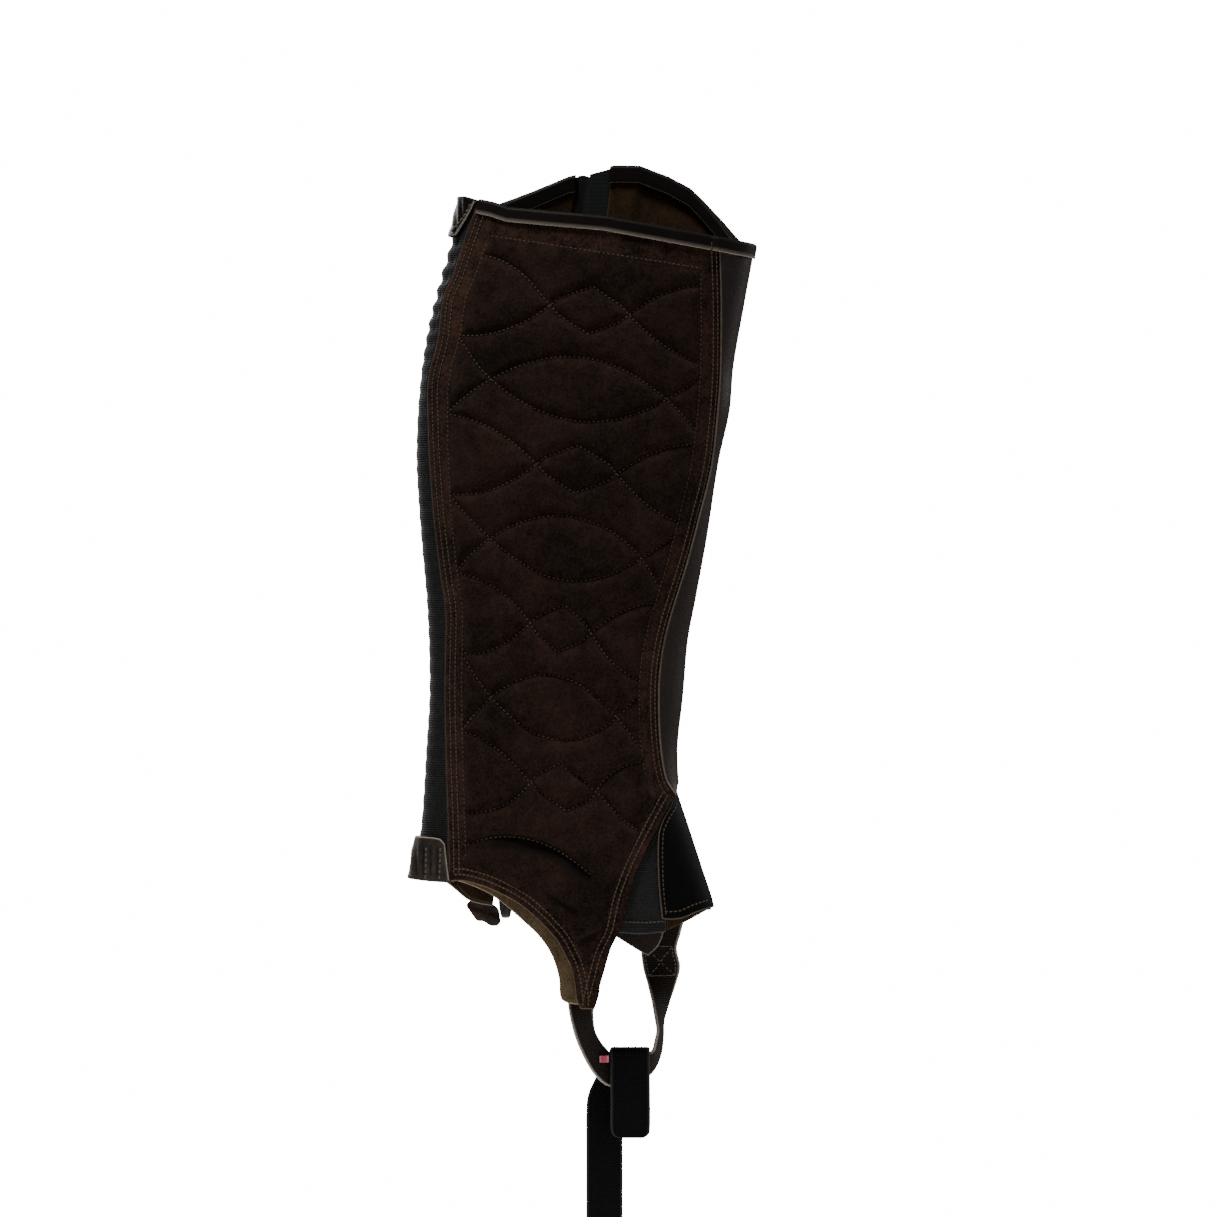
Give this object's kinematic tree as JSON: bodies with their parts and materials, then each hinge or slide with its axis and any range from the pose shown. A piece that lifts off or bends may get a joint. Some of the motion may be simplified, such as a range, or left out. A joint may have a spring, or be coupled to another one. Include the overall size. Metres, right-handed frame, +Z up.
{
  "type": "half chap",
  "caption": "Brown half chap for one lower leg: quilted suede inner side, smooth leather outer side with a long zip, rear elastic and a foot strap.",
  "frame": {"origin": "middle of the top opening, between the calf and the shin", "axes": "+Z up along the leg, +X from the calf towards the shin, -Y towards the inner, quilted side of the leg"},
  "size_m": [0.1818, 0.0708, 0.5514],
  "materials": {
    "suede": "napped",
    "leather": "satin",
    "lining": "matte",
    "panel_lining": "matte",
    "elastic": "ribbed",
    "zip_fabric": "matte",
    "zip_plastic": "matte",
    "zip_metal": "satin",
    "trim_leather": "satin",
    "strap_elastic": "ribbed",
    "webbing": "matte",
    "label": "matte"
  },
  "bodies": {
    "root": {"quilted_panel": "suede", "panel_lining": "panel_lining", "outer_shell": "leather", "vamp": "leather", "shell_lining": "lining", "elastic_gusset": "elastic", "ankle_gore": "elastic", "zip_facing": "leather", "facing_lining": "lining", "zip_tape_rear": "zip_fabric", "zip_tape_front": "zip_fabric", "zip_coil": "zip_plastic", "zip_slider": "zip_metal", "zip_pull": "trim_leather", "top_binding": "leather", "facing_binding": "leather", "top_tab": "trim_leather", "foot_tab": "trim_leather", "anchor_tongue": "leather", "foot_strap": "strap_elastic", "adjuster_strap": "webbing", "side_label": "label"}
  },
  "joints": []
}
